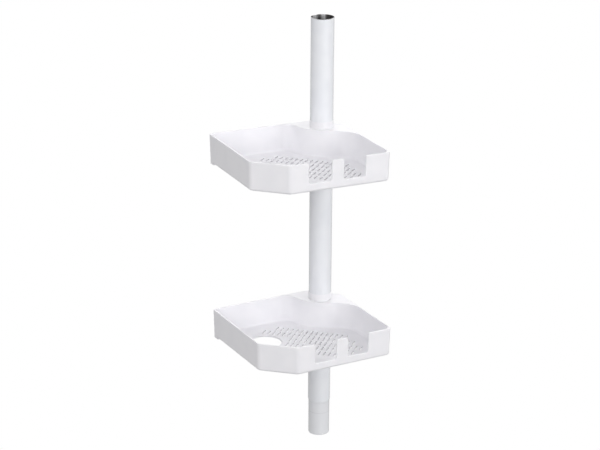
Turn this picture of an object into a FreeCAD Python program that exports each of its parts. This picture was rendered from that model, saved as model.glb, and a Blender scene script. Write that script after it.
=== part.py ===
"""Tension pole shelf unit: one steel pole section that carries two moulded corner trays.

Frame: millimetres, +Z up. The origin is on the pole's axis, at the lower end of its male end.
X runs along the upper tray's front edge and Y points from its front edge to its back edge.
Every driving size is a cell of the sheet "sizes"; the bodies are bound to those cells.
"""
import FreeCAD, Part
import math
import os
import re

import Sketcher

SIZES = (
    # Steel pole section, open socket at the top and reduced male end at the bottom.
    ("pole_diameter", 31.75),
    ("pole_wall", 0.75),
    ("pole_length", 616.0),
    ("socket_length", 58.0),
    ("socket_growth", 0.22),
    ("socket_clearance", 0.2),
    ("male_length", 54.0),
    ("male_taper", 4.0),
    ("end_curl", 1.0),
    ("seam_width", 1.4),
    ("seam_height", 2.6),
    # Where the two trays sit on the pole, measured to their rims.
    ("upper_rim_height", 463.5),
    ("lower_rim_height", 210.8),
    ("lower_tray_turn", 3.5),
    # Tray plan and walls.
    ("tray_width", 186.7),
    ("tray_depth", 176.8),
    ("tray_height", 40.2),
    ("tray_wall", 2.2),
    ("tray_draft", 1.2),
    ("floor_thickness", 2.4),
    ("deck_thickness", 3.0),
    ("pole_inset", 31.9),
    ("back_cut", 36.0),
    ("front_cut_along_side", 38.0),
    ("front_cut_along_front", 41.0),
    ("corner_radius", 6.0),
    ("cut_corner_radius", 9.0),
    ("hollow_corner_radius", 9.0),
    ("floor_radius", 3.5),
    ("rim_radius", 0.7),
    ("base_radius", 4.0),
    # Hub wall between the tray's hollow and the pole, and its blends into the two back walls.
    ("hub_wall_radius", 60.0),
    ("hub_wall_reach", 21.8),
    ("hub_back_radius", 16.0),
    ("hub_side_radius", 36.0),
    # Open notches in the front wall.
    ("right_notch_width", 31.9),
    ("left_notch_width", 33.1),
    ("notch_depth", 28.5),
    ("notch_post", 17.3),
    ("notch_from_right", 36.9),
    ("notch_corner", 3.5),
    ("notch_lip", 2.0),
    # Round hole and diagonal drain slots in the floor.
    ("hole_diameter", 44.6),
    ("hole_from_left", 53.3),
    ("hole_from_front", 116.6),
    ("slot_rows", 5.0),
    ("slot_length", 12.5),
    ("slot_width", 2.4),
    ("slot_corner", 1.1),
    ("slot_pitch", 7.25),
    ("slot_row_gap", 3.7),
    ("slot_start", 36.6),
    ("slot_side", 21.0),
    ("slot_margin", 19.0),
    # Foot under the back left corner.
    ("foot_length", 14.0),
    ("foot_width", 11.0),
    ("foot_height", 1.0),
    # Split tapered sleeve that wedges each tray on the pole.
    ("sleeve_ring_height", 9.5),
    ("sleeve_ring_wall", 0.6),
    ("sleeve_lead", 3.0),
    ("sleeve_lip", 0.2),
    ("sleeve_taper_growth", 2.8),
    ("sleeve_flange", 3.6),
    ("sleeve_flange_thickness", 3.0),
    ("sleeve_gap", 0.8),
    ("sleeve_turn", -26.5),
    ("hub_length", 50.0),
    ("hub_tube_wall", 2.6),
    ("running_clearance", 0.05),
    ("flange_clearance", 0.4),
    # Rubber grip pads set into the sleeve halves.
    ("pad_thickness", 0.9),
    ("pad_length", 28.0),
    ("pad_depth", 16.0),
    ("pad_angle", 130.0),
    # Spring that puts the pole under tension, inside the socket.
    ("plunger_gap", 2.0),
    ("plunger_length", 24.0),
    ("plunger_wall", 2.4),
    ("plunger_clearance", 0.08),
    ("spring_length", 84.0),
    ("spring_wire", 2.2),
    ("spring_diameter", 22.0),
    ("spring_turns", 9.0),
    ("spring_end_gap", 0.3),
    ("seat_length", 16.0),
    ("seat_stem_length", 10.0),
    ("stem_clearance", 0.6),
)

doc = FreeCAD.newDocument("tension_pole_shelf_unit")
sheet = doc.addObject("Spreadsheet::Sheet", "sizes")
for row, (alias, value) in enumerate(SIZES, start=1):
    sheet.set(f"A{row}", alias)
    sheet.set(f"B{row}", str(value))
    sheet.setAlias(f"B{row}", alias)
doc.recompute()

ALIASES = {alias: f"sizes.{alias}" for alias, _ in SIZES}
SMALL = 1e-4
OVERCUT = 1.0


# ---------------------------------------------------------------- helpers
def full(text):
    """Write a size expression with the sheet's name in front of every alias."""
    return re.sub(r"[a-z_]+", lambda found: ALIASES.get(found.group(), found.group()), text)


def number(text):
    """Value of a size expression with the sheet as it stands."""
    return float(doc.sizes.evalExpression(full(text)))


def bind(target, **expressions):
    """Bind properties of an object to size expressions."""
    for name, text in expressions.items():
        target.setExpression(name, full(text))


def new_body(label, height="0", turn="0"):
    """A body on the pole's axis, raised by height and turned about Z by turn."""
    body = doc.addObject("PartDesign::Body", label)
    body.Label = label
    body.setExpression("Placement.Base.z", full(height))
    body.setExpression("Placement.Rotation.Angle", full(turn))
    return body


def new_sketch(body, name, role, lift="0", turn="0"):
    """A sketch on one of the body's own origin planes, lifted along its normal and turned in it."""
    sketch = body.newObject("Sketcher::SketchObject", f"{body.Label}_{name}")
    plane = next(item for item in body.Origin.OriginFeatures if item.Role == role)
    sketch.AttachmentSupport = (plane, [""])
    sketch.MapMode = "FlatFace"
    sketch.setExpression("AttachmentOffset.Base.z", full(lift))
    sketch.setExpression("AttachmentOffset.Rotation.Angle", full(turn))
    return sketch


def hold(sketch, kind, place, text):
    """Add one driving constraint that a size expression sets."""
    index = sketch.addConstraint(Sketcher.Constraint(kind, *place, number(text)))
    sketch.setExpression(f"Constraints[{index}]", full(text))


def hold_point(sketch, geometry, end, x, y):
    """Hold one end of a run at a pair of size expressions, measured from the sketch's origin."""
    for kind, axis, text in (("DistanceX", -2, x), ("DistanceY", -1, y)):
        if text == "0":
            sketch.addConstraint(Sketcher.Constraint("PointOnObject", geometry, end, axis))
        else:
            hold(sketch, kind, (-1, 1, geometry, end), text)


def arc_between(start, end, radius, left):
    """Arc of a radius from start to end; left says whether its centre is left of that run."""
    chord = end - start
    height = math.sqrt(max(radius ** 2 - (chord.Length / 2) ** 2, 0.0))
    side = FreeCAD.Vector(-chord.y, chord.x, 0).normalize() * (height if left else -height)
    centre = (start + end) / 2 + side
    away = (start + end) / 2 - centre
    if away.Length < SMALL:
        away = FreeCAD.Vector(chord.y, -chord.x, 0) * (1 if left else -1)
    middle = centre + away.normalize() * radius
    return Part.Arc(start, middle, end)


def outline(sketch, corners):
    """Close a sketch through corners: (x, y), or (x, y, radius, left) where an arc leaves."""
    places = [FreeCAD.Vector(number(corner[0]), number(corner[1]), 0) for corner in corners]
    first = sketch.GeometryCount
    starts = []
    for index, corner in enumerate(corners):
        start, end = places[index], places[(index + 1) % len(corners)]
        if len(corner) == 2:
            sketch.addGeometry(Part.LineSegment(start, end), False)
            starts.append(1)
        else:
            added = sketch.addGeometry(arc_between(start, end, number(corner[2]), corner[3]), False)
            starts.append(1 if (sketch.getPoint(added, 1) - start).Length < SMALL else 2)
    for index, corner in enumerate(corners):
        here = first + index
        following = (index + 1) % len(corners)
        joint = (here, 3 - starts[index], first + following, starts[following])
        sketch.addConstraint(Sketcher.Constraint("Coincident", *joint))
        hold_point(sketch, here, starts[index], corner[0], corner[1])
        if len(corner) > 2:
            hold(sketch, "Radius", (here,), corner[2])


def circle(sketch, x, y, diameter):
    """One circle held by its centre and diameter."""
    centre = FreeCAD.Vector(number(x), number(y), 0)
    ring = Part.Circle(centre, FreeCAD.Vector(0, 0, 1), number(diameter) / 2)
    added = sketch.addGeometry(ring, False)
    hold_point(sketch, added, 3, x, y)
    hold(sketch, "Diameter", (added,), diameter)


def feature(body, kind, name, sketch, **settings):
    """Add one sketch-based feature; text settings are size expressions."""
    made = body.newObject(f"PartDesign::{kind}", f"{body.Label}_{name}")
    made.Profile = sketch
    for key, value in settings.items():
        if isinstance(value, str) and key != "Type":
            made.setExpression(key, full(value))
        else:
            setattr(made, key, value)
    sketch.Visibility = False
    doc.recompute()
    return made


def revolve(body, name, corners, cut=False, angle=None):
    """Turn a profile of radius and height pairs about the body's axis, right round or by an angle."""
    sketch = new_sketch(body, f"{name}_profile", "XZ_Plane")
    outline(sketch, corners)
    kind = "Groove" if cut else "Revolution"
    axis = (sketch, ["V_Axis"])
    if angle is None:
        return feature(body, kind, name, sketch, ReferenceAxis=axis)
    return feature(body, kind, name, sketch, ReferenceAxis=axis, Midplane=True, Angle=angle)


def pattern(body, name, original, sketch, axis, pitch, count):
    """Repeat one feature against an axis of its sketch."""
    made = body.newObject("PartDesign::LinearPattern", f"{body.Label}_{name}")
    made.Originals = [original]
    made.Direction = (sketch, [axis])
    made.Reversed = True
    made.Mode = "Spacing"
    made.setExpression("Offset", full(pitch))
    made.Occurrences = count
    body.Tip = made
    doc.recompute()
    return made


def round_edges(body, name, radius, wanted):
    """Fillet the edges of the body that a test picks."""
    base = body.Tip
    names = [f"Edge{index}" for index, edge in enumerate(base.Shape.Edges, start=1) if wanted(edge)]
    made = body.newObject("PartDesign::Fillet", f"{body.Label}_{name}")
    made.Base = (base, names)
    made.setExpression("Radius", full(radius))
    doc.recompute()
    return made


def middle(edge):
    """Point half way along an edge."""
    return edge.valueAt((edge.FirstParameter + edge.LastParameter) / 2)


def steep(edge):
    """Whether an edge runs up a wall, its draft allowed for."""
    ends = [vertex.Point for vertex in edge.Vertexes]
    if len(ends) != 2:
        return False
    run = ends[1] - ends[0]
    return abs(run.z) > 0.9 * run.Length and abs(run.z) > SMALL


def sharp(body, edge):
    """Whether the two faces at an edge meet in a corner."""
    faces = body.Tip.Shape.ancestorsOfType(edge, Part.Face)
    place = middle(edge)
    normals = []
    for face in faces:
        across, along = face.Surface.parameter(place)
        normals.append(face.normalAt(across, along))
    return len(normals) == 2 and normals[0].dot(normals[1]) < 0.99


def level(edge, height):
    """Whether an edge lies flat at a height."""
    box = edge.BoundBox
    return abs(box.ZMin - height) < 0.01 and abs(box.ZMax - height) < 0.01


# ---------------------------------------------------------------- shared sizes
POLE_RADIUS = "pole_diameter / 2"
BORE_RADIUS = "(pole_diameter / 2 - pole_wall)"
SOCKET_RADIUS = "(pole_diameter / 2 - pole_wall + socket_growth)"
MALE_RADIUS = f"({SOCKET_RADIUS} - socket_clearance)"
SLEEVE_BORE = "(pole_diameter / 2 + running_clearance)"
RING_RADIUS = f"({SLEEVE_BORE} + sleeve_ring_wall)"
FOOT_RADIUS = f"({RING_RADIUS} + sleeve_taper_growth)"
HUB_BORE_TOP = f"({RING_RADIUS} + running_clearance)"
HUB_BORE_FOOT = f"({FOOT_RADIUS} + running_clearance)"

RIGHT = "pole_inset"
BACK = "pole_inset"
LEFT = "(pole_inset - tray_width)"
FRONT = "(pole_inset - tray_depth)"
HOLLOW = "(tray_height - floor_thickness)"
LEAN = "tray_height * tan(tray_draft * 1 deg)"
HUB_FACE = "(pole_inset - tray_wall)"
HUB_CENTRE = "((hub_wall_radius - hub_wall_reach) * sqrt(0.5))"


def hub_arc(offset):
    """Reach and radius of the hub wall's arc, on the face that lies offset nearer to the pole."""
    radius = f"(hub_wall_radius - {offset})"
    reach = f"({HUB_CENTRE} - sqrt({radius} ^ 2 - ({HUB_CENTRE} - {HUB_FACE}) ^ 2))"
    return reach, radius


def side_blend(offset):
    """Ends and radius of the blend from the hub wall to the right wall, on that same face."""
    run = "(hub_wall_radius + hub_side_radius)"
    across = f"({HUB_CENTRE} - {HUB_FACE} + hub_side_radius)"
    along = f"sqrt({run} ^ 2 - {across} ^ 2)"
    share = f"(hub_wall_radius - {offset}) / {run}"
    radius = f"(hub_side_radius + {offset})"
    touch = (f"{HUB_CENTRE} - {across} * {share}", f"{HUB_CENTRE} - {along} * {share}")
    foot = (HUB_FACE, f"{HUB_CENTRE} - {along} + sqrt({radius} ^ 2 - hub_side_radius ^ 2)")
    return touch, foot, radius


# ---------------------------------------------------------------- pole
def make_pole():
    """Tube with a widened top socket and a reduced, curled male end."""
    body = new_body("pole_tube")
    taper_top = "male_length"
    taper_foot = "(male_length - male_taper)"
    socket_foot = "(pole_length - socket_length)"
    revolve(body, "tube", [
        (f"{MALE_RADIUS} - end_curl", "0", "end_curl", True),
        (MALE_RADIUS, "end_curl"),
        (MALE_RADIUS, taper_foot),
        (POLE_RADIUS, taper_top),
        (POLE_RADIUS, "pole_length"),
        (SOCKET_RADIUS, "pole_length"),
        (SOCKET_RADIUS, socket_foot),
        (BORE_RADIUS, socket_foot),
        (BORE_RADIUS, taper_top),
        (f"{MALE_RADIUS} - pole_wall", taper_foot),
        (f"{MALE_RADIUS} - pole_wall", "end_curl", "end_curl - pole_wall", False),
        (f"{MALE_RADIUS} - end_curl", "pole_wall"),
    ])
    notch = new_sketch(body, "seam", "XZ_Plane")
    outline(notch, [
        ("0 - seam_width / 2", "0 - seam_height"),
        ("seam_width / 2", "0 - seam_height"),
        ("seam_width / 2", "seam_height"),
        ("0 - seam_width / 2", "seam_height"),
    ])
    feature(body, "Pocket", "seam_notch", notch, Type="Length", Length="pole_diameter", Reversed=True)
    return body


# ---------------------------------------------------------------- trays
def tray_outline(sketch):
    """Outer plan of a tray: a square with its back corner and its front left corner cut off."""
    outline(sketch, [
        (LEFT, f"{FRONT} + front_cut_along_side"),
        (f"{LEFT} + front_cut_along_front", FRONT),
        (RIGHT, FRONT),
        (RIGHT, f"{BACK} - back_cut"),
        (f"{RIGHT} - back_cut", BACK),
        (LEFT, BACK),
    ])


def hollow_outline(sketch):
    """Plan of the hollow, one wall inside the tray's plan, with the hub wall bulging into it."""
    run = "sqrt(front_cut_along_side ^ 2 + front_cut_along_front ^ 2)"
    along_side = f"tray_wall * ({run} - front_cut_along_side) / front_cut_along_front"
    along_front = f"tray_wall * ({run} - front_cut_along_front) / front_cut_along_side"
    reach, radius = hub_arc("0")
    outline(sketch, [
        (f"{LEFT} + tray_wall", f"{FRONT} + front_cut_along_side + {along_side}"),
        (f"{LEFT} + front_cut_along_front + {along_front}", f"{FRONT} + tray_wall"),
        (f"{RIGHT} - tray_wall", f"{FRONT} + tray_wall"),
        (HUB_FACE, reach, radius, False),
        (reach, HUB_FACE),
        (f"{LEFT} + tray_wall", HUB_FACE),
    ])


def cavity_outline(sketch):
    """Plan of the hollow under the deck, between the hub wall and the back corner's walls."""
    reach, radius = hub_arc("tray_wall")
    touch, foot, blend_radius = side_blend("tray_wall")
    corner = "pole_inset - back_cut + tray_wall * (1 - sqrt(2))"
    outline(sketch, [
        foot,
        (HUB_FACE, corner),
        (corner, HUB_FACE),
        (reach, HUB_FACE, radius, True),
        (*touch, blend_radius, False),
    ])


def notch_outline(sketch, from_right, width):
    """One open notch, rounded at its sill's ends and where its sides meet the rim."""
    right = f"({RIGHT} - {from_right})"
    left = f"({RIGHT} - {from_right} - {width})"
    sill = "0 - notch_depth"
    outline(sketch, [
        (f"{left} - notch_lip", "notch_lip"),
        (f"{left} - notch_lip", "0", "notch_lip", False),
        (left, "0 - notch_lip"),
        (left, f"{sill} + notch_corner", "notch_corner", True),
        (f"{left} + notch_corner", sill),
        (f"{right} - notch_corner", sill, "notch_corner", True),
        (right, f"{sill} + notch_corner"),
        (right, "0 - notch_lip", "notch_lip", False),
        (f"{right} + notch_lip", "0"),
        (f"{right} + notch_lip", "notch_lip"),
    ])


def cut_notches(body):
    """Two open notches with a post between them, cut through the front wall from outside it."""
    notches = (
        ("right_notch", "notch_from_right", "right_notch_width"),
        ("left_notch", "(notch_from_right + right_notch_width + notch_post)", "left_notch_width"),
    )
    for name, from_right, width in notches:
        sketch = new_sketch(body, name, "XZ_Plane", f"0 - {FRONT} + {OVERCUT}")
        notch_outline(sketch, from_right, width)
        feature(body, "Pocket", f"{name}_cut", sketch, Type="Length",
                Length=f"tray_wall + {LEAN} + {OVERCUT}")


def slots_in_rows():
    """Slots of each diagonal row that fit inside the floor's plain margin.

    A row that passes between the hub and the hole goes on behind the hole. Gives how many slots
    go on there and how many the whole row has.
    """
    pitch = number("slot_length + slot_row_gap")
    margin = number("slot_margin")
    floor_front = number(FRONT) + margin
    floor_right = number(RIGHT) - margin
    floor_back = number(BACK) - margin
    hole_x = number(f"{LEFT} + hole_from_left")
    hole_y = number(f"{FRONT} + hole_from_front")
    side = number("slot_side")
    hole_reach = number("hole_diameter / 2 + slot_width")
    hole_edge = (hole_y - hole_x) / math.sqrt(2) - hole_reach
    hole_near = -(hole_x + hole_y) / math.sqrt(2) - hole_reach
    counts = []
    for row in range(int(number("slot_rows"))):
        near = number("slot_start") + row * pitch
        far = near + number("slot_length")
        to_right = floor_right * math.sqrt(2) + near
        to_front = -floor_front * math.sqrt(2) - far
        width = min(to_right, to_front) + min(side, hole_edge)
        count = int(width / number("slot_pitch")) + 1
        to_back = floor_back * math.sqrt(2) + near
        beyond = int((to_back - side) / number("slot_pitch")) if far < hole_near else 0
        counts.append((max(beyond, 0), count + max(beyond, 0)))
    return counts


def cut_slots(body):
    """Rows of parallel slots through the floor, along the diagonal towards the pole."""
    for row, (beyond, count) in enumerate(slots_in_rows()):
        if count < 1:
            continue
        sketch = new_sketch(body, f"slot_{row}", "XY_Plane", f"0 - {HOLLOW}", "45")
        near = f"(0 - slot_start - {row} * (slot_length + slot_row_gap))"
        far = f"({near} - slot_length)"
        low = f"(slot_side + {beyond} * slot_pitch - slot_width / 2)"
        high = f"(slot_side + {beyond} * slot_pitch + slot_width / 2)"
        outline(sketch, [
            (f"{near} - slot_corner", low),
            (f"{far} + slot_corner", low, "slot_corner", False),
            (far, f"{low} + slot_corner"),
            (far, f"{high} - slot_corner", "slot_corner", False),
            (f"{far} + slot_corner", high),
            (f"{near} - slot_corner", high, "slot_corner", False),
            (near, f"{high} - slot_corner"),
            (near, f"{low} + slot_corner", "slot_corner", False),
        ])
        cut = feature(body, "Pocket", f"slot_cut_{row}", sketch, Type="Length",
                      Length=f"floor_thickness + {OVERCUT}")
        if count > 1:
            pattern(body, f"slot_row_{row}", cut, sketch, "V_Axis", "slot_pitch", count)


def draft_walls(body, name, wanted, outside):
    """Lean upright faces by the mould's draft, so that the block or hollow is narrower below."""
    base = body.Tip
    names = [f"Face{index}" for index, face in enumerate(base.Shape.Faces, start=1) if wanted(face)]
    rim_plane = next(item for item in body.Origin.OriginFeatures if item.Role == "XY_Plane")
    made = body.newObject("PartDesign::Draft", f"{body.Label}_{name}")
    made.Base = (base, names)
    made.NeutralPlane = (rim_plane, [""])
    made.setExpression("Angle", full("tray_draft"))
    made.Reversed = outside
    doc.recompute()
    return made


def upright(face):
    """Whether a face stands on edge all over."""
    low, high, first, last = face.ParameterRange
    return abs(face.normalAt((low + high) / 2, (first + last) / 2).z) < SMALL


def make_block(body):
    """Outer block of a tray, leaning in towards its base."""
    plan = new_sketch(body, "plan", "XY_Plane")
    tray_outline(plan)
    feature(body, "Pad", "block", plan, Type="Length", Length="tray_height", Reversed=True)
    draft_walls(body, "outer_draft", upright, True)


def make_hollow(body):
    """Open hollow of a tray, with rounded inner corners and a rounded floor edge."""
    plan = new_sketch(body, "hollow_plan", "XY_Plane")
    hollow_outline(plan)
    feature(body, "Pocket", "hollow", plan, Type="Length", Length=HOLLOW)
    draft_walls(body, "inner_draft", upright, False)
    floor = -number(HOLLOW)
    near = number("floor_thickness") / 4
    reach = number(hub_arc("0")[0])

    def inner_corner(edge):
        return steep(edge) and abs(middle(edge).z - floor / 2) < near and sharp(body, edge)

    def back_corner(edge):
        return inner_corner(edge) and abs(middle(edge).x - reach) < OVERCUT

    def side_corner(edge):
        return inner_corner(edge) and abs(middle(edge).y - reach) < OVERCUT

    round_edges(body, "hub_back_corner", "hub_back_radius", back_corner)
    round_edges(body, "hub_side_corner", "hub_side_radius", side_corner)
    round_edges(body, "hollow_corners", "hollow_corner_radius", inner_corner)
    round_edges(body, "floor_edge", "floor_radius", lambda edge: level(edge, floor))


def round_outside(body):
    """Round the tray's upright outer corners, then the edge round its base."""
    foot = -number("tray_height")
    near = number("floor_thickness") / 4
    beside_cut = number(f"{LEFT} + front_cut_along_front") + OVERCUT
    before_cut = number(f"{FRONT} + front_cut_along_side") + OVERCUT

    def outer_corner(edge):
        return steep(edge) and abs(middle(edge).z - foot / 2) < near and sharp(body, edge)

    def cut_corner(edge):
        return outer_corner(edge) and middle(edge).x < beside_cut and middle(edge).y < before_cut

    round_edges(body, "cut_corners", "cut_corner_radius", cut_corner)
    round_edges(body, "corners", "corner_radius", outer_corner)
    round_edges(body, "base_rounding", "base_radius", lambda edge: level(edge, foot))


def cut_floor_hole(body):
    """Round hole through the floor beside the left wall."""
    sketch = new_sketch(body, "hole", "XY_Plane", f"0 - {HOLLOW}")
    circle(sketch, f"{LEFT} + hole_from_left", f"{FRONT} + hole_from_front", "hole_diameter")
    feature(body, "Pocket", "floor_hole", sketch, Type="Length", Length=f"floor_thickness + {OVERCUT}")


def add_foot(body):
    """Short foot under the back left corner, flush with the leaning outer walls."""
    lean = f"({LEAN} + 0.1)"
    left = f"({LEFT} + {lean})"
    back = f"({BACK} - {lean})"
    radius = f"(corner_radius - {lean})"
    sketch = new_sketch(body, "foot", "XY_Plane", "base_radius - tray_height")
    outline(sketch, [
        (left, f"{back} - foot_length"),
        (f"{left} + foot_width", f"{back} - foot_length"),
        (f"{left} + foot_width", back),
        (f"{left} + {radius}", back, radius, True),
        (left, f"{back} - {radius}"),
    ])
    feature(body, "Pad", "foot_pad", sketch, Type="Length", Length="foot_height + base_radius",
            Reversed=True)


def add_hub(body):
    """Tapered tube under the deck, and the tapered bore that the sleeve wedges in."""
    cavity = new_sketch(body, "cavity", "XY_Plane", "0 - tray_height")
    cavity_outline(cavity)
    feature(body, "Pocket", "cavity_cut", cavity, Type="Length", Length="tray_height - deck_thickness",
            Reversed=True)
    revolve(body, "hub_tube", [
        ("0", "0 - deck_thickness / 2"),
        (f"{HUB_BORE_TOP} + hub_tube_wall", "0 - deck_thickness / 2"),
        (f"{HUB_BORE_FOOT} + hub_tube_wall", "0 - hub_length"),
        ("0", "0 - hub_length"),
    ])
    revolve(body, "hub_bore", [
        ("0", f"{OVERCUT}"),
        ("0", f"0 - hub_length - {OVERCUT}"),
        (HUB_BORE_FOOT, f"0 - hub_length - {OVERCUT}"),
        (HUB_BORE_FOOT, "0 - hub_length"),
        (HUB_BORE_TOP, "0"),
        (HUB_BORE_TOP, f"{OVERCUT}"),
    ], cut=True)


def make_tray(label, height, turn):
    """One moulded corner tray, its rim at z = 0 of its own frame and the pole on its Z axis."""
    body = new_body(label, height, turn)
    make_block(body)
    make_hollow(body)
    round_outside(body)
    cut_notches(body)
    round_edges(body, "rim_rounding", "rim_radius", lambda edge: level(edge, 0.0))
    cut_floor_hole(body)
    cut_slots(body)
    add_foot(body)
    add_hub(body)
    return body


# ---------------------------------------------------------------- sleeves
def make_sleeve_half(label, height, side_turn):
    """Half of the split tapered sleeve: a thin bevelled ring above the deck, a cone, a flange."""
    body = new_body(label, height, f"sleeve_turn + {side_turn}")
    flange_top = "(0 - hub_length - flange_clearance)"
    flange_radius = f"({FOOT_RADIUS} + sleeve_flange)"
    half_turn = "180 - 360 * sleeve_gap / (pi * pole_diameter)"
    revolve(body, "shell", [
        (SLEEVE_BORE, f"{flange_top} - sleeve_flange_thickness"),
        (flange_radius, f"{flange_top} - sleeve_flange_thickness"),
        (flange_radius, flange_top),
        (FOOT_RADIUS, flange_top),
        (FOOT_RADIUS, "0 - hub_length"),
        (RING_RADIUS, "0"),
        (RING_RADIUS, "sleeve_ring_height - sleeve_lead"),
        (f"{SLEEVE_BORE} + sleeve_lip", "sleeve_ring_height"),
        (SLEEVE_BORE, "sleeve_ring_height"),
    ], angle=half_turn)
    pad_foot = "0 - pad_depth - pad_length"
    revolve(body, "pad_recess", [
        (f"{SLEEVE_BORE} - {OVERCUT}", pad_foot),
        (f"{SLEEVE_BORE} + pad_thickness", pad_foot),
        (f"{SLEEVE_BORE} + pad_thickness", "0 - pad_depth"),
        (f"{SLEEVE_BORE} - {OVERCUT}", "0 - pad_depth"),
    ], cut=True, angle="pad_angle")
    return body


def make_grip_pad(label, height, side_turn):
    """Curved rubber pad that fills the recess in one sleeve half."""
    body = new_body(label, height, f"sleeve_turn + {side_turn}")
    pad_foot = "0 - pad_depth - pad_length"
    revolve(body, "strip", [
        (SLEEVE_BORE, pad_foot),
        (f"{SLEEVE_BORE} + pad_thickness", pad_foot),
        (f"{SLEEVE_BORE} + pad_thickness", "0 - pad_depth"),
        (SLEEVE_BORE, "0 - pad_depth"),
    ], angle="pad_angle")
    return body


# ---------------------------------------------------------------- spring in the socket
PLUNGER_TOP = "(pole_length - socket_length - plunger_gap)"
PLUNGER_CROWN = "(1.5 * plunger_wall)"
SPRING_TOP = f"({PLUNGER_TOP} - {PLUNGER_CROWN} - spring_end_gap)"
SPRING_FOOT = f"({SPRING_TOP} - spring_length)"
SEAT_TOP = f"({SPRING_FOOT} - spring_end_gap)"


def make_plunger():
    """Cup that slides in the tube and carries the end of the next pole section."""
    body = new_body("spring_plunger")
    radius = f"({BORE_RADIUS} - plunger_clearance)"
    revolve(body, "cup", [
        ("0", f"{PLUNGER_TOP} - {PLUNGER_CROWN}"),
        (f"{radius} - plunger_wall", f"{PLUNGER_TOP} - {PLUNGER_CROWN}"),
        (f"{radius} - plunger_wall", f"{PLUNGER_TOP} - plunger_length"),
        (radius, f"{PLUNGER_TOP} - plunger_length"),
        (radius, PLUNGER_TOP),
        ("0", PLUNGER_TOP),
    ])
    return body


def make_seat():
    """Plug pressed into the tube, with a stem that keeps the spring central."""
    body = new_body("spring_seat")
    stem = "((spring_diameter - spring_wire) / 2 - stem_clearance)"
    revolve(body, "plug", [
        ("0", f"{SEAT_TOP} - seat_length"),
        (BORE_RADIUS, f"{SEAT_TOP} - seat_length"),
        (BORE_RADIUS, SEAT_TOP),
        (stem, SEAT_TOP),
        (stem, f"{SEAT_TOP} + seat_stem_length"),
        ("0", f"{SEAT_TOP} + seat_stem_length"),
    ])
    return body


def make_spring():
    """Compression spring between the seat and the plunger."""
    body = new_body("tension_spring")
    sketch = new_sketch(body, "wire", "XZ_Plane")
    circle(sketch, "spring_diameter / 2", f"{SPRING_FOOT} + spring_wire / 2", "spring_wire")
    coil = body.newObject("PartDesign::AdditiveHelix", "tension_spring_coil")
    coil.Profile = sketch
    coil.ReferenceAxis = (sketch, ["V_Axis"])
    coil.Mode = "height-turns-angle"
    bind(coil, Height="spring_length - spring_wire", Turns="spring_turns")
    sketch.Visibility = False
    doc.recompute()
    return body


# ---------------------------------------------------------------- assembly
TRAYS = (
    ("upper", "upper_rim_height", "0"),
    ("lower", "lower_rim_height", "lower_tray_turn"),
)
SLEEVE_SIDES = (
    ("front", "-90"),
    ("back", "90"),
)

parts = [make_pole(), make_seat(), make_spring(), make_plunger()]
for shelf, height, turn in TRAYS:
    parts.append(make_tray(f"{shelf}_tray", height, turn))
    for side, side_turn in SLEEVE_SIDES:
        parts.append(make_sleeve_half(f"{shelf}_sleeve_{side}", height, side_turn))
        parts.append(make_grip_pad(f"{shelf}_grip_pad_{side}", height, side_turn))
doc.recompute()

failed = [item.Name for item in doc.Objects if {"Invalid", "Error"} & set(item.State)]
if failed:
    raise RuntimeError(f"failed objects: {failed}")
for part in parts:
    if part.Shape.isNull() or not part.Shape.isValid() or len(part.Shape.Solids) != 1:
        raise RuntimeError(f"{part.Label} is not one valid solid")

os.makedirs("parts", exist_ok=True)
for part in parts:
    part.Shape.exportStep(f"parts/{part.Label}.step")
    print(f"{part.Label}: {part.Shape.Volume / 1000:.2f} cm3")
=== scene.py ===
"""Studio scene of a tension pole section with two corner trays.

Everything is in metres in the part's own frame: +Z up, the origin on the pole's axis at its lower
end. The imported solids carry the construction. This script dresses them, adds the small moulded and
welded details, and lights the studio.
"""
from __future__ import annotations

import logging
import math
from dataclasses import dataclass
from enum import Enum

import bmesh
import bpy
from mathutils import Matrix, Vector

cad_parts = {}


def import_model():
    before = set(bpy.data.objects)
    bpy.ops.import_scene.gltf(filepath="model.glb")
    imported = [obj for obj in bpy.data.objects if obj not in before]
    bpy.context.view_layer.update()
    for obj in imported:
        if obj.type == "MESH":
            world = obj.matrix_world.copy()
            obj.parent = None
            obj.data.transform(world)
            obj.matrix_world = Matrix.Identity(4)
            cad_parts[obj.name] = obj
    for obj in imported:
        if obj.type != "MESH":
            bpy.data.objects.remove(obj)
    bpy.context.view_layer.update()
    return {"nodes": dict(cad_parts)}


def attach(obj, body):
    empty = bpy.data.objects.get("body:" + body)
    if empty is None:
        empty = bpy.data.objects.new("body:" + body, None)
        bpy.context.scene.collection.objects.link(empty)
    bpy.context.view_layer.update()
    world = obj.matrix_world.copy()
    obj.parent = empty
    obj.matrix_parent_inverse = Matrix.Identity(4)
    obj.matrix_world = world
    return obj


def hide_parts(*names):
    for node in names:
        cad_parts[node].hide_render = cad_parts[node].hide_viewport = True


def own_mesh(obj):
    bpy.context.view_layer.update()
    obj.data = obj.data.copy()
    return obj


LOG = logging.getLogger("tension_pole")
MM = 0.001
PLASTIC_IOR = 1.5
SHARP_ANGLE = math.radians(35.0)
SORT_LINE = Vector((0.1, 0.05, 1.0))

Colour = tuple[float, float, float]
Point = tuple[float, float, float]
Place = tuple[float, float]
Span = tuple[float, float]


class Level(Enum):
    """Which of the two shelves on the pole."""

    UPPER = "upper"
    LOWER = "lower"


class Slot(Enum):
    """Material slots of the record."""

    POLE = "pole_enamel"
    TRAY = "tray_plastic"
    SLEEVE = "sleeve_plastic"
    GRIP = "grip_rubber"
    INNER = "inner_plastic"
    SPRING = "spring_steel"


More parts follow.
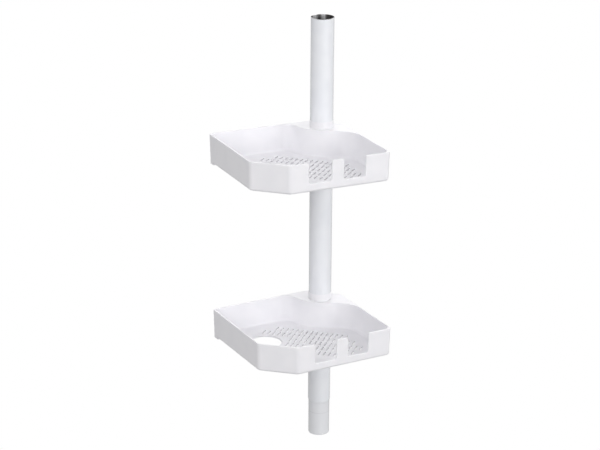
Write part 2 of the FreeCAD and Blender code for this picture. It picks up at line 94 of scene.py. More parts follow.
# ------------------------------------------------------------------ node sheets
class NodeSheet:
    """Adds nodes to one node tree and links them.

    Attributes:
        tree: the node tree that is written to.
    """

    def __init__(self, tree: bpy.types.NodeTree) -> None:
        """Take the tree and empty it.

        Args:
            tree: the node tree.
        """
        self.tree = tree
        tree.nodes.clear()

    def add(self, kind: str, **settings: object) -> bpy.types.Node:
        """Add a node.

        Args:
            kind: type name of the node without its ShaderNode part.
            settings: properties of the node.

        Returns:
            The new node.
        """
        node = self.tree.nodes.new(f"ShaderNode{kind}")
        for name, value in settings.items():
            setattr(node, name, value)
        return node

    def feed(self, target: bpy.types.NodeSocket, value: object) -> None:
        """Link a socket into target, or set target to a plain value.

        Args:
            target: the input that is fed.
            value: an output socket or a plain value.
        """
        if isinstance(value, bpy.types.NodeSocket):
            self.tree.links.new(value, target)
        else:
            target.default_value = value

    def math(self, operation: str, *values: object) -> bpy.types.NodeSocket:
        """Place a Math node.

        Args:
            operation: name of the operation.
            values: its inputs, as sockets or plain values.

        Returns:
            The result.
        """
        node = self.add("Math", operation=operation)
        for target, value in zip(node.inputs, values):
            self.feed(target, value)
        return node.outputs[0]

    def ramp(self, value: object, start: float, end: float, low: float = 0.0,
             high: float = 1.0) -> bpy.types.NodeSocket:
        """Place a smooth step of value from start to end.

        Args:
            value: the socket that is read.
            start: value at which the step leaves low.
            end: value at which the step reaches high.
            low: result before start.
            high: result after end.

        Returns:
            The stepped value.
        """
        node = self.add("MapRange", interpolation_type="SMOOTHSTEP")
        for name, number in (("From Min", start), ("From Max", end), ("To Min", low), ("To Max", high)):
            node.inputs[name].default_value = number
        self.feed(node.inputs["Value"], value)
        return node.outputs["Result"]

    def blend(self, share: object, first: object, second: object) -> bpy.types.NodeSocket:
        """Mix two colours.

        Args:
            share: how much of the second colour there is, from 0 to 1.
            first: colour at 0.
            second: colour at 1.

        Returns:
            The mixed colour.
        """
        node = self.add("Mix", data_type="RGBA", clamp_factor=True)
        for name, value in (("Factor_Float", share), ("A_Color", first), ("B_Color", second)):
            target = next(s for s in node.inputs if s.identifier == name)
            self.feed(target, (*value, 1.0) if isinstance(value, tuple) else value)
        return next(s for s in node.outputs if s.identifier == "Result_Color")

    def noise(self, vector: object, scale: object, detail: float) -> bpy.types.NodeSocket:
        """Place a noise texture.

        Args:
            vector: coordinates that it reads.
            scale: its scale in cells per unit of vector.
            detail: how many finer layers it has.

        Returns:
            Noise from 0 to 1.
        """
        node = self.add("TexNoise")
        self.feed(node.inputs["Vector"], vector)
        self.feed(node.inputs["Scale"], scale)
        node.inputs["Detail"].default_value = detail
        return node.outputs["Fac"]


class EffectGroups:
    """Node groups that several finishes share, each built once.

    Attributes:
        GRAIN_DETAIL: finer layers of the grain.
        SWELL_DETAIL: finer layers of the swell.
        STREAK_DETAIL: finer layers of the streaks.
        MOTTLE_EDGES: values of the swell between which the mottle goes from 0 to 1.
        STREAK_EDGE: softness of a streak's edge.
    """

    GRAIN_DETAIL = 3.0
    SWELL_DETAIL = 1.5
    STREAK_DETAIL = 2.0
    MOTTLE_EDGES = (0.32, 0.68)
    STREAK_EDGE = 0.12
    _made: dict[str, bpy.types.NodeTree] = {}

    @classmethod
    def _start(cls, name: str, inputs: dict[str, str], outputs: tuple[str, ...]) -> tuple[
            NodeSheet, bpy.types.Node, bpy.types.Node]:
        """Open a new group with its sockets.

        Args:
            name: name of the group.
            inputs: socket name to socket type.
            outputs: names of the value sockets that it puts out.

        Returns:
            The group's sheet, its input node and its output node.
        """
        group = bpy.data.node_groups.new(name, "ShaderNodeTree")
        for label, kind in inputs.items():
            group.interface.new_socket(name=label, in_out="INPUT", socket_type=kind)
        for label in outputs:
            group.interface.new_socket(name=label, in_out="OUTPUT", socket_type="NodeSocketFloat")
        sheet = NodeSheet(group)
        entry = group.nodes.new("NodeGroupInput")
        leave = group.nodes.new("NodeGroupOutput")
        cls._made[name] = group
        return sheet, entry, leave

    @classmethod
    def surface_grain(cls) -> bpy.types.NodeTree:
        """Make the group of a fine grain on a slow swell.

        Returns:
            The group, which puts out a height for bumps and a slow mottle for tone.
        """
        name = "surface_grain"
        if name not in cls._made:
            floats = {label: "NodeSocketFloat" for label in ("Grain mm", "Swell mm", "Swell Share")}
            sheet, entry, leave = cls._start(name, {"Vector": "NodeSocketVector", **floats},
                                             ("Height", "Mottle"))
            in_mm = sheet.add("VectorMath", operation="SCALE")
            sheet.feed(in_mm.inputs[0], entry.outputs["Vector"])
            in_mm.inputs["Scale"].default_value = 1.0 / MM
            grain = sheet.noise(in_mm.outputs[0], sheet.math("DIVIDE", 1.0, entry.outputs["Grain mm"]),
                                cls.GRAIN_DETAIL)
            swell = sheet.noise(in_mm.outputs[0], sheet.math("DIVIDE", 1.0, entry.outputs["Swell mm"]),
                                cls.SWELL_DETAIL)
            lifted = sheet.math("MULTIPLY_ADD", swell, entry.outputs["Swell Share"], grain)
            sheet.feed(leave.inputs["Height"], lifted)
            sheet.feed(leave.inputs["Mottle"], sheet.ramp(swell, *cls.MOTTLE_EDGES))
        return cls._made[name]

    @classmethod
    def rub_streaks(cls) -> bpy.types.NodeTree:
        """Make the group of streaks from rubbing, drawn out along the vector's Z.

        Returns:
            The group, which puts out a mask from 0 to 1.
        """
        name = "rub_streaks"
        if name not in cls._made:
            floats = {label: "NodeSocketFloat" for label in ("Width mm", "Length mm", "Bareness")}
            sheet, entry, leave = cls._start(name, {"Vector": "NodeSocketVector", **floats}, ("Mask",))
            across = sheet.math("DIVIDE", 1.0 / MM, entry.outputs["Width mm"])
            along = sheet.math("DIVIDE", 1.0 / MM, entry.outputs["Length mm"])
            rates = sheet.add("CombineXYZ")
            for target, rate in zip(rates.inputs, (across, across, along)):
                sheet.feed(target, rate)
            stretched = sheet.add("VectorMath", operation="MULTIPLY")
            sheet.feed(stretched.inputs[0], entry.outputs["Vector"])
            sheet.feed(stretched.inputs[1], rates.outputs[0])
            lines = sheet.noise(stretched.outputs[0], 1.0, cls.STREAK_DETAIL)
            raised = sheet.math("SUBTRACT", lines, entry.outputs["Bareness"])
            sheet.feed(leave.inputs["Mask"], sheet.ramp(raised, 0.0, cls.STREAK_EDGE))
        return cls._made[name]


class FinishSheet(NodeSheet):
    """Node sheet of one material with its Principled shader.

    Attributes:
        material: the material.
        shader: its Principled BSDF.
        where: Object coordinates, in the frame that the finish is drawn in.
        UPWARD_EDGES: upward parts of a normal between which a face starts to count as a floor.
    """

    UPWARD_EDGES = (0.8, 0.95)

    def __init__(self, name: str, origin: Point = (0.0, 0.0, 0.0), turn: float = 0.0) -> None:
        """Make the material.

        Args:
            name: name of the material.
            origin: where the finish's own origin stands, in metres.
            turn: turn of the finish about Z, in degrees.
        """
        self.material = bpy.data.materials.new(name)
        self.material.use_nodes = True
        super().__init__(self.material.node_tree)
        output = self.add("OutputMaterial")
        self.shader = self.add("BsdfPrincipled")
        self.tree.links.new(self.shader.outputs["BSDF"], output.inputs["Surface"])
        coordinates = self.add("TexCoord")
        mapping = self.add("Mapping", vector_type="TEXTURE")
        mapping.inputs["Location"].default_value = origin
        mapping.inputs["Rotation"].default_value = (0.0, 0.0, math.radians(turn))
        self.feed(mapping.inputs["Vector"], coordinates.outputs["Object"])
        self.where = mapping.outputs["Vector"]

    def settle(self, **values: object) -> None:
        """Set sockets of the shader.

        Args:
            values: sockets or plain values by input name, with underscores for spaces.
        """
        for name, value in values.items():
            self.feed(self.shader.inputs[name.replace("_", " ")], value)

    def effect(self, tree: bpy.types.NodeTree, vector: object, **values: float) -> bpy.types.Node:
        """Place a shared group.

        Args:
            tree: the group.
            vector: coordinates that it reads.
            values: its other inputs, named with underscores for spaces.

        Returns:
            The group's node.
        """
        node = self.add("Group", node_tree=tree)
        self.feed(node.inputs["Vector"], vector)
        for name, value in values.items():
            node.inputs[name.replace("_", " ")].default_value = value
        return node

    def bump(self, height: object, depth: float) -> None:
        """Feed the shader's normal from a height.

        Args:
            height: the height map.
            depth: how many metres the height rises from 0 to 1.
        """
        node = self.add("Bump")
        node.inputs["Strength"].default_value = 1.0
        node.inputs["Distance"].default_value = depth
        self.feed(node.inputs["Height"], height)
        self.feed(self.shader.inputs["Normal"], node.outputs["Normal"])

    def axes(self) -> tuple[bpy.types.NodeSocket, bpy.types.NodeSocket, bpy.types.NodeSocket]:
        """Split the finish's coordinates.

        Returns:
            X, Y and Z.
        """
        split = self.add("SeparateXYZ")
        self.feed(split.inputs[0], self.where)
        return split.outputs[0], split.outputs[1], split.outputs[2]

    def facing_up(self) -> bpy.types.NodeSocket:
        """Mask the faces that look up.

        Returns:
            1 on floors and decks, 0 on walls and undersides.
        """
        split = self.add("SeparateXYZ")
        self.feed(split.inputs[0], self.add("NewGeometry").outputs["Normal"])
        return self.ramp(split.outputs[2], *self.UPWARD_EDGES)

    def radius(self) -> bpy.types.NodeSocket:
        """Measure how far a point is from the finish's Z axis.

        Returns:
            The distance in metres.
        """
        x, y, _ = self.axes()
        return self.math("SQRT", self.math("ADD", self.math("MULTIPLY", x, x), self.math("MULTIPLY", y, y)))


# ------------------------------------------------------------------ finishes
@dataclass(frozen=True)
class Grain:
    """Settings of the fine grain on its slow swell.

    Attributes:
        size: size of the grain in millimetres.
        swell: size of the swell in millimetres.
        share: height of the swell against that of the grain.
    """

    size: float
    swell: float
    share: float

    def place(self, sheet: FinishSheet) -> tuple[bpy.types.NodeSocket, bpy.types.NodeSocket]:
        """Place the grain in a material.

        Args:
            sheet: the material's sheet.

        Returns:
            Its height and its mottle.
        """
        node = sheet.effect(EffectGroups.surface_grain(), sheet.where, Grain_mm=self.size,
                            Swell_mm=self.swell, Swell_Share=self.share)
        return node.outputs["Height"], node.outputs["Mottle"]


@dataclass(frozen=True)
class Streaks:
    """Settings of streaks that run up the part.

    Attributes:
        width: width of a streak in millimetres.
        length: length of a streak in millimetres.
        bareness: how few streaks there are, around 0.5.
    """

    width: float
    length: float
    bareness: float

    def place(self, sheet: FinishSheet) -> bpy.types.NodeSocket:
        """Place the streaks in a material.

        Args:
            sheet: the material's sheet.

        Returns:
            Their mask.
        """
        node = sheet.effect(EffectGroups.rub_streaks(), sheet.where, Width_mm=self.width,
                            Length_mm=self.length, Bareness=self.bareness)
        return node.outputs["Mask"]


@dataclass(frozen=True)
class MouldedPlastic:
    """White moulded plastic with a fine grain, a slow swell and a matter floor.

    Attributes:
        name: name of the material.
        tone: colour of the plastic.
        shade: colour where the melt flowed thin.
        roughness: roughness on the walls.
        mottle_roughness: roughness that the mottle adds.
        scuff_roughness: roughness that the scuffs add.
        floor_roughness: roughness that the spark-eroded floor adds.
        grain: the mould's grain.
        scuffs: fine scuffs from handling.
        depth: height of the grain in metres.
        floor_coarseness: how much higher the grain is on the floor.
        floor_level: height below the finish's origin where the floor's texture ends.
        floor_edge: height over which it ends.
    """

    name: str
    tone: Colour = (0.862, 0.854, 0.882)
    shade: Colour = (0.838, 0.832, 0.862)
    roughness: float = 0.34
    mottle_roughness: float = 0.05
    scuff_roughness: float = 0.07
    floor_roughness: float = 0.14
    grain: Grain = Grain(0.42, 24.0, 2.5)
    scuffs: Streaks = Streaks(0.5, 9.0, 0.66)
    depth: float = 0.000012
    floor_coarseness: float = 1.6
    floor_level: float = -0.0367
    floor_edge: float = 0.0004

    def build(self, height: float, turn: float) -> bpy.types.Material:
        """Make the material for a moulding.

        Args:
            height: height of the moulding's own origin on the pole.
            turn: turn of the moulding about the pole in degrees.

        Returns:
            The material.
        """
        sheet = FinishSheet(self.name, (0.0, 0.0, height), turn)
        relief, mottle = self.grain.place(sheet)
        scuffs = self.scuffs.place(sheet)
        low = sheet.ramp(sheet.axes()[2], self.floor_level - self.floor_edge, self.floor_level, 1.0, 0.0)
        floor = sheet.math("MULTIPLY", low, sheet.facing_up())
        sheet.settle(Base_Color=sheet.blend(mottle, self.tone, self.shade), IOR=PLASTIC_IOR)
        worn = sheet.math("MULTIPLY_ADD", mottle, self.mottle_roughness, self.roughness)
        worn = sheet.math("MULTIPLY_ADD", scuffs, self.scuff_roughness, worn)
        sheet.settle(Roughness=sheet.math("MULTIPLY_ADD", floor, self.floor_roughness, worn))
        coarse = sheet.math("MULTIPLY_ADD", floor, self.floor_coarseness, 1.0)
        sheet.bump(sheet.math("MULTIPLY", relief, coarse), self.depth)
        return sheet.material


@dataclass(frozen=True)
class PoleEnamel:
    """White enamel on a steel tube, with bare steel inside and at the cut ends.

    Radii and heights are in metres from the pole's axis and its lower end.

    Attributes:
        enamel: colour of the enamel.
        enamel_shade: colour of the enamel where it is thin.
        enamel_male: colour of the thinner enamel on the male end.
        rub_tone: colour of the enamel where the next socket rubs it.
        rub_share: how strongly that colour shows.
        mark_tone: colour of the mating ring.
        mark_share: how strongly that colour shows.
        steel: colour of the bare steel where the drawing mandrel burnished it.
        oxide: colour of the dull steel between the burnished bands.
        grain: the enamel's orange peel.
        rubs: hairlines along the tube.
        hairline_share: how strongly the hairlines brighten the steel.
        hairline_height: height of the hairlines on the steel, against that of the grain.
        bands: burnished bands along the bare steel.
        male_middle: radius in the middle of the male end's wall.
        tube_middle: radius in the middle of the tube's wall.
        socket_middle: how much further out the socket's wall lies.
        wall_edge: half the width over which enamel gives way to steel inside the wall.
        step: heights between which the male end widens to the tube.
        socket: heights between which the tube widens to its socket.
        mating_mark: height of the faint ring that the next socket leaves on the male end.
        mark_edges: half widths between which the ring fades.
        mark_depth: depth of the ring, against the height of the grain.
        slide_start: how far below the ring the rubbing starts.
        lip: heights between which the enamel ends at the upper end.
        lip_wear: how far the hairlines wear that edge.
        coat_roughness: roughness of the enamel's clear surface.
        roughness: roughness of the enamel.
        mottle_roughness: roughness that the mottle adds.
        rub_roughness: roughness that the rubbing adds.
        steel_roughness: roughness that the steel adds.
        depth: height of the grain in metres.
    """

    enamel: Colour = (0.846, 0.858, 0.888)
    enamel_shade: Colour = (0.812, 0.826, 0.862)
    enamel_male: Colour = (0.785, 0.792, 0.818)
    rub_tone: Colour = (0.70, 0.71, 0.73)
    rub_share: float = 0.25
    mark_tone: Colour = (0.42, 0.42, 0.44)
    mark_share: float = 0.22
    steel: Colour = (0.86, 0.86, 0.87)
    oxide: Colour = (0.12, 0.115, 0.115)
    grain: Grain = Grain(1.7, 28.0, 1.5)
    rubs: Streaks = Streaks(0.35, 16.0, 0.60)
    hairline_share: float = 0.5
    hairline_height: float = 1.5
    bands: Streaks = Streaks(10.0, 150.0, 0.49)
    male_middle: float = 0.01477
    tube_middle: float = 0.0155
    socket_middle: float = 0.00022
    wall_edge: float = 0.00008
    step: Span = (0.050, 0.054)
    socket: Span = (0.554, 0.558)
    mating_mark: float = 0.035
    mark_edges: Span = (0.0002, 0.0007)
    mark_depth: float = 3.0
    slide_start: float = 0.004
    lip: Span = (0.6154, 0.6156)
    lip_wear: float = 0.0002
    coat_roughness: float = 0.12
    roughness: float = 0.30
    mottle_roughness: float = 0.06
    rub_roughness: float = 0.12
    steel_roughness: float = 0.16
    depth: float = 0.00001

    def build(self) -> bpy.types.Material:
        """Make the material.

        Returns:
            The material.
        """
        sheet = FinishSheet(Slot.POLE.value)
        z = sheet.axes()[2]
        relief, mottle = self.grain.place(sheet)
        rubs = self.rubs.place(sheet)
        bare = self.bare_steel(sheet, z, rubs)
        mark = sheet.ramp(sheet.math("ABSOLUTE", sheet.math("SUBTRACT", z, self.mating_mark)),
                          *self.mark_edges, 1.0, 0.0)
        sliding = sheet.ramp(z, self.mating_mark - self.slide_start, self.step[0], 1.0, 0.0)
        rubbed = sheet.math("MULTIPLY", rubs, sliding)
        coat = sheet.blend(mottle, self.enamel, self.enamel_shade)
        coat = sheet.blend(sheet.ramp(z, *self.step, 1.0, 0.0), coat, self.enamel_male)
        coat = sheet.blend(sheet.math("MULTIPLY", rubbed, self.rub_share), coat, self.rub_tone)
        coat = sheet.blend(sheet.math("MULTIPLY", mark, self.mark_share), coat, self.mark_tone)
        metal = sheet.blend(self.bands.place(sheet), self.oxide, self.steel)
        metal = sheet.blend(sheet.math("MULTIPLY", rubs, self.hairline_share), metal, self.steel)
        sheet.settle(Base_Color=sheet.blend(bare, coat, metal), Metallic=bare, IOR=PLASTIC_IOR,
                     Coat_Weight=sheet.math("SUBTRACT", 1.0, bare), Coat_Roughness=self.coat_roughness)
        gloss = sheet.math("MULTIPLY_ADD", mottle, self.mottle_roughness, self.roughness)
        gloss = sheet.math("MULTIPLY_ADD", rubbed, self.rub_roughness, gloss)
        sheet.settle(Roughness=sheet.math("MULTIPLY_ADD", bare, self.steel_roughness, gloss))
        lines = sheet.math("MULTIPLY", rubs, sheet.math("MULTIPLY", bare, self.hairline_height))
        raised = sheet.math("SUBTRACT", sheet.math("ADD", relief, lines),
                            sheet.math("MULTIPLY", mark, self.mark_depth))
        sheet.bump(raised, self.depth)
        return sheet.material

    def bare_steel(self, sheet: FinishSheet, z: bpy.types.NodeSocket,
                   rubs: bpy.types.NodeSocket) -> bpy.types.NodeSocket:
        """Mask the steel that the enamel doesn't cover: inside the wall's middle and at the lip.

        Args:
            sheet: the material's sheet.
            z: height on the pole.
            rubs: mask of the hairlines.

        Returns:
            1 on bare steel and 0 on enamel.
        """
        middle = sheet.math("ADD", sheet.ramp(z, *self.step, self.male_middle, self.tube_middle),
                            sheet.ramp(z, *self.socket, 0.0, self.socket_middle))
        inward = sheet.math("SUBTRACT", middle, sheet.radius())
        inside = sheet.ramp(inward, -self.wall_edge, self.wall_edge)
        lip = sheet.ramp(sheet.math("MULTIPLY_ADD", rubs, self.lip_wear, z), *self.lip)
        return sheet.math("MAXIMUM", inside, lip)


@dataclass(frozen=True)
class GripRubber:
    """Matt grey rubber with a fine pebbled skin.

    Attributes:
        tone: colour of the rubber.
        bloom: colour where the rubber has bloomed.
        roughness: roughness of the rubber.
        mottle_roughness: roughness that the mottle adds.
        grain: the pebbled skin.
        depth: height of the skin in metres.
    """

    tone: Colour = (0.105, 0.108, 0.112)
    bloom: Colour = (0.17, 0.172, 0.176)
    roughness: float = 0.70
    mottle_roughness: float = 0.12
    grain: Grain = Grain(0.25, 7.0, 1.0)
    depth: float = 0.00004

    def build(self) -> bpy.types.Material:
        """Make the material.

        Returns:
            The material.
        """
        sheet = FinishSheet(Slot.GRIP.value)
        relief, mottle = self.grain.place(sheet)
        sheet.settle(Base_Color=sheet.blend(mottle, self.tone, self.bloom), IOR=PLASTIC_IOR,
                     Roughness=sheet.math("MULTIPLY_ADD", mottle, self.mottle_roughness, self.roughness))
        sheet.bump(relief, self.depth)
        return sheet.material


@dataclass(frozen=True)
class InnerPlastic:
    """Grey glass-filled plastic of the parts inside the tube, with fibres showing in its skin.

    Attributes:
        tone: colour of the plastic.
        fibre: colour of the fibres.
        fibre_share: how strongly the fibres show.
        roughness: roughness of the plastic.
        mottle_roughness: roughness that the mottle adds.
        grain: the mould's grain.
        fibres: the fibres in the skin.
        depth: height of the grain in metres.
    """

    tone: Colour = (0.34, 0.345, 0.35)
    fibre: Colour = (0.47, 0.475, 0.48)
    fibre_share: float = 0.45
    roughness: float = 0.46
    mottle_roughness: float = 0.10
    grain: Grain = Grain(0.5, 9.0, 1.0)
    fibres: Streaks = Streaks(0.3, 2.5, 0.58)
    depth: float = 0.00003

    def build(self) -> bpy.types.Material:
        """Make the material.

        Returns:
            The material.
        """
        sheet = FinishSheet(Slot.INNER.value)
        relief, mottle = self.grain.place(sheet)
        skin = sheet.math("MULTIPLY", self.fibres.place(sheet), self.fibre_share)
        sheet.settle(Base_Color=sheet.blend(skin, self.tone, self.fibre), IOR=PLASTIC_IOR,
                     Roughness=sheet.math("MULTIPLY_ADD", mottle, self.mottle_roughness, self.roughness))
        sheet.bump(relief, self.depth)
        return sheet.material


@dataclass(frozen=True)
class SpringWire:
    """Bright drawn spring wire with a light oil film.

    Attributes:
        tone: colour of the wire.
        film: colour of the wire under the oil film.
        roughness: roughness of the wire.
        mottle_roughness: roughness that the film adds.
        grain: the wire's drawing texture.
        depth: height of the texture in metres.
    """

    tone: Colour = (0.58, 0.58, 0.60)
    film: Colour = (0.40, 0.37, 0.33)
    roughness: float = 0.26
    mottle_roughness: float = 0.12
    grain: Grain = Grain(0.3, 6.0, 1.0)
    depth: float = 0.00001

    def build(self) -> bpy.types.Material:
        """Make the material.

        Returns:
            The material.
        """
        sheet = FinishSheet(Slot.SPRING.value)
        relief, mottle = self.grain.place(sheet)
        sheet.settle(Base_Color=sheet.blend(mottle, self.tone, self.film), Metallic=1.0,
                     Roughness=sheet.math("MULTIPLY_ADD", mottle, self.mottle_roughness, self.roughness))
        sheet.bump(relief, self.depth)
        return sheet.material


def dress(node: bpy.types.Object, material: bpy.types.Material) -> None:
    """Put one material in all of a node's slots.

    Args:
        node: the object.
        material: its new material.
    """
    if not node.material_slots:
        node.data.materials.append(material)
    for slot in node.material_slots:
        slot.material = material


def fix_order(bm: bmesh.types.BMesh) -> None:
    """Sort a mesh along a slanted line, because extruding orders it differently from run to run.

    Args:
        bm: the mesh.
    """
    for parts in (bm.verts, bm.edges, bm.faces):
        parts.sort(key=lambda part: sum(v.co.dot(SORT_LINE) for v in getattr(part, "verts", [part])))


def new_piece(name: str, bm: bmesh.types.BMesh, body: str,
              material: bpy.types.Material) -> bpy.types.Object:
    """Turn a finished bmesh into a piece that rides on a body.

    Args:
        name: name of the piece.
        bm: its shape in the row frame, which is freed.
        body: body that it rides on.
        material: its material.

    Returns:
        The new object.
    """
    bmesh.ops.recalc_face_normals(bm, faces=bm.faces)
    mesh = bpy.data.meshes.new(name)
    bm.to_mesh(mesh)
    bm.free()
    mesh.shade_smooth()
    mesh.set_sharp_from_angle(angle=SHARP_ANGLE)
    piece = bpy.data.objects.new(name, mesh)
    bpy.context.collection.objects.link(piece)
    piece.data.materials.append(material)
    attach(piece, body)
    LOG.info("%s added", name)
    return piece


# ------------------------------------------------------------------ sub-assemblies
@dataclass
class PoleSection:
    """The enamelled tube and the weld bead left inside its socket.

    Attributes:
        socket_radius: radius of the socket's bore.
        bead_width: width of the weld bead.
        bead_height: how far the bead stands out of the wall.
        bead_start: height where the bead starts, just above the plunger.
        bead_end: height where the bead ends, below the rim.
        bead_steps: lengths that the bead is made of.
        bead_sides: corners of the bead's flat oval.
        ironed_share: how much wider and narrower the bead gets where it was ironed.
        ironed_pace: how fast that changes from length to length, in radians.
    """

    socket_radius: float = 15.345 * MM
    bead_width: float = 1.5 * MM
    bead_height: float = 0.13 * MM
    bead_start: float = 558.4 * MM
    bead_end: float = 615.2 * MM
    bead_steps: int = 36
    bead_sides: int = 14
    ironed_share: float = 0.06
    ironed_pace: float = 2.1

    def bead(self, material: bpy.types.Material) -> bpy.types.Object:
        """Draw the bead's flat oval up the socket, a little wider and narrower as it was ironed.

        Args:
            material: the tube's material.

        Returns:
            The bead.
        """
        bm = bmesh.new()
        ring = bmesh.ops.create_circle(bm, cap_ends=True, segments=self.bead_sides, radius=1.0)["verts"]
        bmesh.ops.scale(bm, vec=(self.bead_width / 2, self.bead_height, 1.0), verts=ring)
        bmesh.ops.translate(bm, vec=(0.0, -self.socket_radius, self.bead_start), verts=ring)
        face = bm.faces[:][0]
        rise = (self.bead_end - self.bead_start) / self.bead_steps
        about = Matrix.Translation((0.0, self.socket_radius, 0.0))
        for step in range(self.bead_steps):
            made = bmesh.ops.extrude_face_region(bm, geom=[face])["geom"]
            verts = [v for v in made if isinstance(v, bmesh.types.BMVert)]
            old, face = face, next(f for f in made if isinstance(f, bmesh.types.BMFace))
            if step:
                bmesh.ops.delete(bm, geom=[old], context="FACES_ONLY")
            bmesh.ops.translate(bm, vec=(0.0, 0.0, rise), verts=verts)
            ironed = 1.0 + self.ironed_share * math.sin(self.ironed_pace * step)
            bmesh.ops.scale(bm, vec=(ironed, 1.0, 1.0), space=about, verts=verts)
        fix_order(bm)
        return new_piece("pole_weld_bead", bm, "pole", material)

    def build(self, nodes: dict[str, bpy.types.Object]) -> None:
        """Dress the tube and add the bead.

        Args:
            nodes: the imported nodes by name.
        """
        enamel = PoleEnamel().build()
        dress(nodes["pole_tube"], enamel)
        self.bead(enamel)
        LOG.info("pole section dressed")


@dataclass
class SpringSet:
    """Seat, spring and plunger inside the tube.

    Attributes:
        spring_foot: height of the spring's lower end; not used.
        spring_length: length of the spring at rest; not used.
        travel: how far the plunger presses it; not used.
    """

    spring_foot: float = 468.1 * MM
    spring_length: float = 84.0 * MM
    travel: float = 35.0 * MM

    def coil(self, node: bpy.types.Object) -> bpy.types.Object:
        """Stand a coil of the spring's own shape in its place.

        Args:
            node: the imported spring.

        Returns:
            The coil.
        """
        coil = bpy.data.objects.new("spring_coil", node.data.copy())
        bpy.context.collection.objects.link(coil)
        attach(coil, "pole")
        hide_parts("tension_spring")
        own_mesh(coil)
        return coil

    def build(self, nodes: dict[str, bpy.types.Object]) -> None:
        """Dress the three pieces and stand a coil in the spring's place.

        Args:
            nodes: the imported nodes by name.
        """
        plastic = InnerPlastic().build()
        dress(nodes["spring_seat"], plastic)
        dress(nodes["spring_plunger"], plastic)
        dress(nodes["tension_spring"], SpringWire().build())
        self.coil(nodes["tension_spring"])
        LOG.info("spring set dressed, coil stands for the spring")


@dataclass(frozen=True)
class MouldMark:
    """Round mark that stands out of a tray's underside.

    Attributes:
        radius: radius of its lower face.
        root_radius: radius of its upper end, inside the floor.
        height: distance between them.
        drop: how far its middle lies below the underside.
        corners: corners of its outline.
        rim: width of the ring round its lower face.
        sink: how far that ring's inside stands back.
    """

    radius: float
    root_radius: float
    height: float
    drop: float
    corners: int
    rim: float
    sink: float

    def build(self, bm: bmesh.types.BMesh, place: Place, underside: float) -> None:
        """Add the mark to a mesh.

        Args:
            bm: the mesh.
            place: where it stands, from the pole's axis.
            underside: height of the tray's underside.
        """
        verts = bmesh.ops.create_cone(bm, cap_ends=True, segments=self.corners, radius1=self.radius,
                                      radius2=self.root_radius, depth=self.height)["verts"]
        bmesh.ops.translate(bm, vec=(*place, underside - self.drop), verts=verts)
        face = min((f for v in verts for f in v.link_faces), key=lambda f: f.calc_center_median().z)
        bmesh.ops.inset_region(bm, faces=[face], thickness=self.rim, depth=-self.sink)


@dataclass
class CornerShelf:
    """One tray with its split sleeve and grip pads.

    Attributes:
        level: which shelf it is.
        rim_height: height of the tray's rim on the pole.
        turn: turn of the tray about the pole in degrees.
        base_depth: depth of the tray's underside below its rim.
        gate: place of the moulding gate on the underside, from the pole's axis.
        ejectors: places of the ejector marks on the underside.
        gate_stub: what is left of the sprue at the gate.
        ejector_mark: mark that an ejector pin leaves.
        sleeve_tone: colour of the sleeve's plastic.
        sleeve_grain: grain of the sleeve's mould.
        sleeve_roughness: roughness of the sleeve's walls.
    """

    level: Level
    rim_height: float
    turn: float = 0.0
    base_depth: float = 40.2 * MM
    gate: Place = (-58.9 * MM, -58.9 * MM)
    ejectors: tuple[Place, ...] = (
        (-132.0 * MM, -8.0 * MM), (-136.0 * MM, -88.0 * MM), (-70.7 * MM, 11.3 * MM),
        (-70.0 * MM, -128.0 * MM), (14.0 * MM, -122.0 * MM), (11.3 * MM, -70.7 * MM),
    )
    gate_stub: MouldMark = MouldMark(1.0 * MM, 1.5 * MM, 1.0 * MM, 0.1 * MM, 28, 0.3 * MM, 0.15 * MM)
    ejector_mark: MouldMark = MouldMark(3.0 * MM, 3.09 * MM, 0.3 * MM, 0.0, 40, 0.35 * MM, 0.1 * MM)
    sleeve_tone: Colour = (0.85, 0.846, 0.868)
    sleeve_grain: Grain = Grain(0.3, 11.0, 2.5)
    sleeve_roughness: float = 0.30

    def mould_marks(self, material: bpy.types.Material) -> bpy.types.Object:
        """Raise the gate stub and the ejector marks on the underside.

        Args:
            material: the tray's material.

        Returns:
            The marks as one piece.
        """
        bm = bmesh.new()
        for place in self.ejectors:
            self.ejector_mark.build(bm, place, -self.base_depth)
        self.gate_stub.build(bm, self.gate, -self.base_depth)
        stand = Matrix.Translation((0.0, 0.0, self.rim_height)) @ Matrix.Rotation(
            math.radians(self.turn), 4, "Z")
        bmesh.ops.transform(bm, matrix=stand, verts=bm.verts)
        name = self.level.value
        return new_piece(f"{name}_mould_marks", bm, f"{name}_shelf", material)

    def build(self, nodes: dict[str, bpy.types.Object], rubber: bpy.types.Material) -> None:
        """Dress the tray, its sleeve halves and its grip pads.

        Args:
            nodes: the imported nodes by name.
            rubber: material of the grip pads.
        """
        name = self.level.value
        tray = MouldedPlastic(f"{name}_{Slot.TRAY.value}").build(self.rim_height, self.turn)
        sleeve = MouldedPlastic(f"{name}_{Slot.SLEEVE.value}", tone=self.sleeve_tone,
                                roughness=self.sleeve_roughness,
                                grain=self.sleeve_grain).build(self.rim_height, self.turn)
        dress(nodes[f"{name}_tray"], tray)
        for side in ("front", "back"):
            dress(nodes[f"{name}_sleeve_{side}"], sleeve)
            dress(nodes[f"{name}_grip_pad_{side}"], rubber)
        self.mould_marks(tray)
        LOG.info("%s shelf dressed", name)


SHELVES = (
    CornerShelf(Level.UPPER, rim_height=463.5 * MM),
    CornerShelf(Level.LOWER, rim_height=210.8 * MM, turn=3.5),
)


